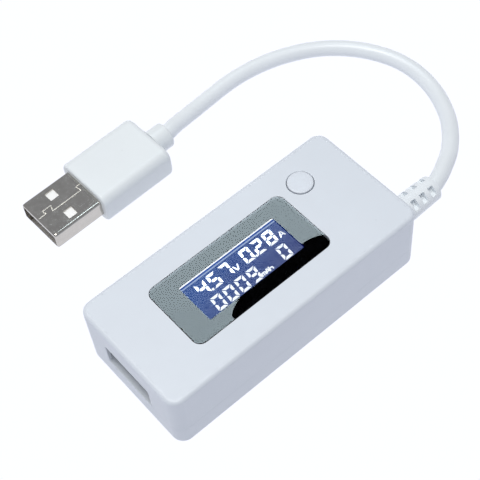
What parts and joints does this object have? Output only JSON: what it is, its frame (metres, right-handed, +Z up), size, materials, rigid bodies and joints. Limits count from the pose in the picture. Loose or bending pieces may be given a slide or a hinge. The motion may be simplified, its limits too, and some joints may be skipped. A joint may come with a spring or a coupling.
{
  "type": "usb power meter",
  "caption": "Inline USB power meter: small white case with a lit blue segment display, a flush push button, a socket in one end and a short captive lead with a plug.",
  "frame": {"origin": "middle of the case's underside, on the surface that it rests on", "axes": "+X along the case towards the lead, away from the socket; +Y towards the top of the display; +Z up, out of the display"},
  "size_m": [0.1007, 0.0671, 0.0162],
  "materials": {
    "case_white": "fine satin moulded ABS",
    "button_white": "satin moulded ABS",
    "window_acrylic": "glossy clear acrylic",
    "mask_black": "black screen print on the back of the window",
    "polarizer_film": "clear film with a blue tint",
    "lcd_glass": "polished thin glass",
    "segment_white": "lit liquid crystal segments, seen white",
    "lcd_blue": "lit blue film behind the segments",
    "diffuser_film": "matt white film",
    "guide_acrylic": "clear acrylic block",
    "frame_white": "white moulded frame",
    "led_yellow": "phosphor coated light emitting diode",
    "tinned_pin": "tin plated",
    "board_green": "solder mask on glass fibre board",
    "plated_steel": "nickel plated sheet",
    "plug_steel": "nickel plated sheet, satin",
    "insulator_white": "moulded thermoplastic",
    "gold_contact": "gold flashed copper alloy",
    "chip_black": "moulded epoxy",
    "resistor_black": "glazed",
    "ceramic_tan": "fired ceramic",
    "solder_grey": "bright solder",
    "can_steel": "pressed can",
    "switch_black": "moulded thermoplastic",
    "spring_steel": "stainless spring strip",
    "lead_white": "smooth flexible PVC",
    "grip_white": "satin flexible PVC",
    "core_clear": "moulded polyethylene",
    "wire_red": "PVC insulation",
    "wire_white": "PVC insulation",
    "wire_green": "PVC insulation",
    "wire_black": "PVC insulation"
  },
  "bodies": {
    "housing": {"upper_case": "case_white", "lower_case": "case_white", "display_window": "window_acrylic", "window_mask": "mask_black", "lcd_front_polarizer": "polarizer_film", "lcd_front_glass": "lcd_glass", "lcd_segments": "segment_white", "lcd_rear_glass": "lcd_glass", "lcd_rear_polarizer": "lcd_blue", "backlight_diffuser": "diffuser_film", "backlight_guide": "guide_acrylic", "backlight_frame": "frame_white", "backlight_leds": "led_yellow", "lcd_pins": "tinned_pin", "circuit_board": "board_green", "socket_shell": "plated_steel", "socket_insulator": "insulator_white", "socket_contacts": "gold_contact", "controller_chip": "chip_black", "controller_leads": "tinned_pin", "memory_chip": "chip_black", "memory_leads": "tinned_pin", "regulator": "chip_black", "regulator_leads": "tinned_pin", "shunt_resistor": "resistor_black", "chip_capacitors": "ceramic_tan", "chip_resistors": "resistor_black", "component_end_caps": "solder_grey", "crystal_can": "can_steel", "solder_joints": "solder_grey", "switch_base": "switch_black", "switch_cover": "can_steel", "switch_dome": "spring_steel", "switch_terminals": "tinned_pin", "strain_relief": "lead_white", "cord_tail": "lead_white", "cord": "lead_white", "wire_red": "wire_red", "wire_white": "wire_white", "wire_green": "wire_green", "wire_black": "wire_black", "plug_grip": "grip_white", "plug_shell": "plug_steel", "plug_insulator": "insulator_white", "plug_contacts": "gold_contact", "plug_core": "core_clear", "plug_cord_end": "lead_white", "plug_wires": "wire_red"},
    "button": {"button_cap": "button_white", "switch_plunger": "switch_black"}
  },
  "joints": [
    {"name": "button_press", "type": "slide", "parent": "housing", "child": "button", "axis": [0, 0, -1], "range_m": [0, 0.0003], "stiffness_N_per_m": 1500, "deforming": ["switch_dome"]}
  ]
}
